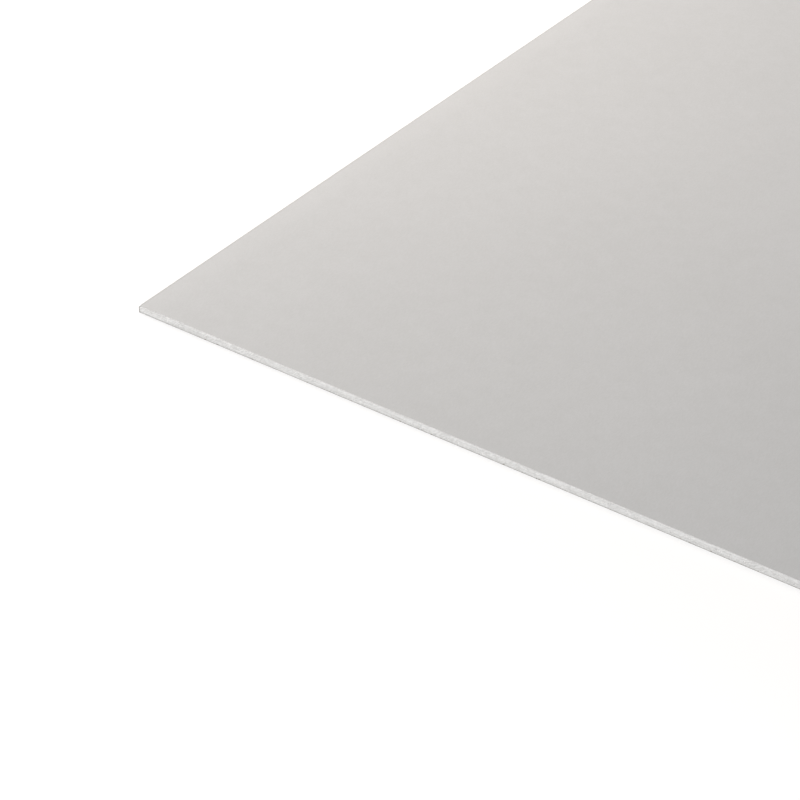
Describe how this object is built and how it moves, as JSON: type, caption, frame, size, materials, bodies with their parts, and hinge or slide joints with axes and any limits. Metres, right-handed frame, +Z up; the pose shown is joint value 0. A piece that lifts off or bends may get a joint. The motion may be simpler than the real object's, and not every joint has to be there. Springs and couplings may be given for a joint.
{
  "type": "drywall sheet",
  "caption": "Flat paper-faced gypsum board with tapered, paper-folded long edges and square-cut ends, for lining walls and ceilings.",
  "frame": {"origin": "centre of the back face, on the floor that the sheet lies on", "axes": "+X across the width from one tapered long edge to the other, +Y along the length, +Z up out of the face"},
  "size_m": [1.2, 2.4, 0.0125],
  "materials": {
    "face_paper": "matte",
    "gypsum_core": "matte",
    "back_paper": "matte"
  },
  "bodies": {
    "root": {"drywall_sheet": "face_paper"}
  },
  "joints": []
}
